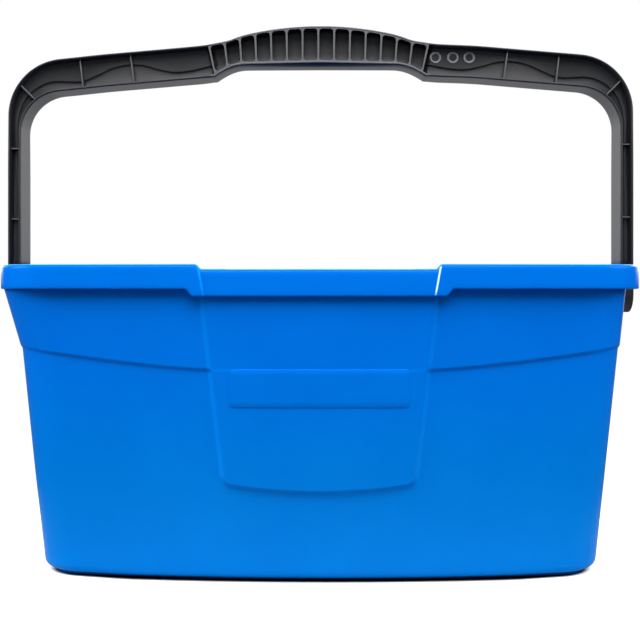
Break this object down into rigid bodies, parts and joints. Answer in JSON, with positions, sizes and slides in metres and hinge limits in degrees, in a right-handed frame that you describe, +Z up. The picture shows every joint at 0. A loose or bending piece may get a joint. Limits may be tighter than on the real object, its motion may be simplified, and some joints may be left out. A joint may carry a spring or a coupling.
{
  "type": "rectangular cleaning bucket",
  "caption": "Rectangular open plastic bucket with drafted walls, a rolled rim with a lowered middle and a ribbed swing handle on pivot pins, for window and floor cleaning.",
  "frame": {"origin": "under the middle of the base, on the surface it stands on", "axes": "+X along the bucket's length and the hinge axis, +Y from the front face to the back face, +Z up"},
  "size_m": [0.5252, 0.259, 0.4442],
  "materials": {
    "tub_plastic": "smooth moulded, semi gloss",
    "handle_plastic": "fine moulded texture, matt",
    "pin_plastic": "smooth moulded, matt"
  },
  "bodies": {
    "tub": {"bucket_tub": "tub_plastic", "pivot_pin_left": "pin_plastic", "pivot_pin_right": "pin_plastic"},
    "handle": {"carry_handle": "handle_plastic"}
  },
  "joints": [
    {"name": "handle_hinge", "type": "hinge", "parent": "tub", "child": "handle", "pos_m": [0, 0, 0.2194], "axis": [1, 0, 0], "range_deg": [-138, 138]}
  ]
}
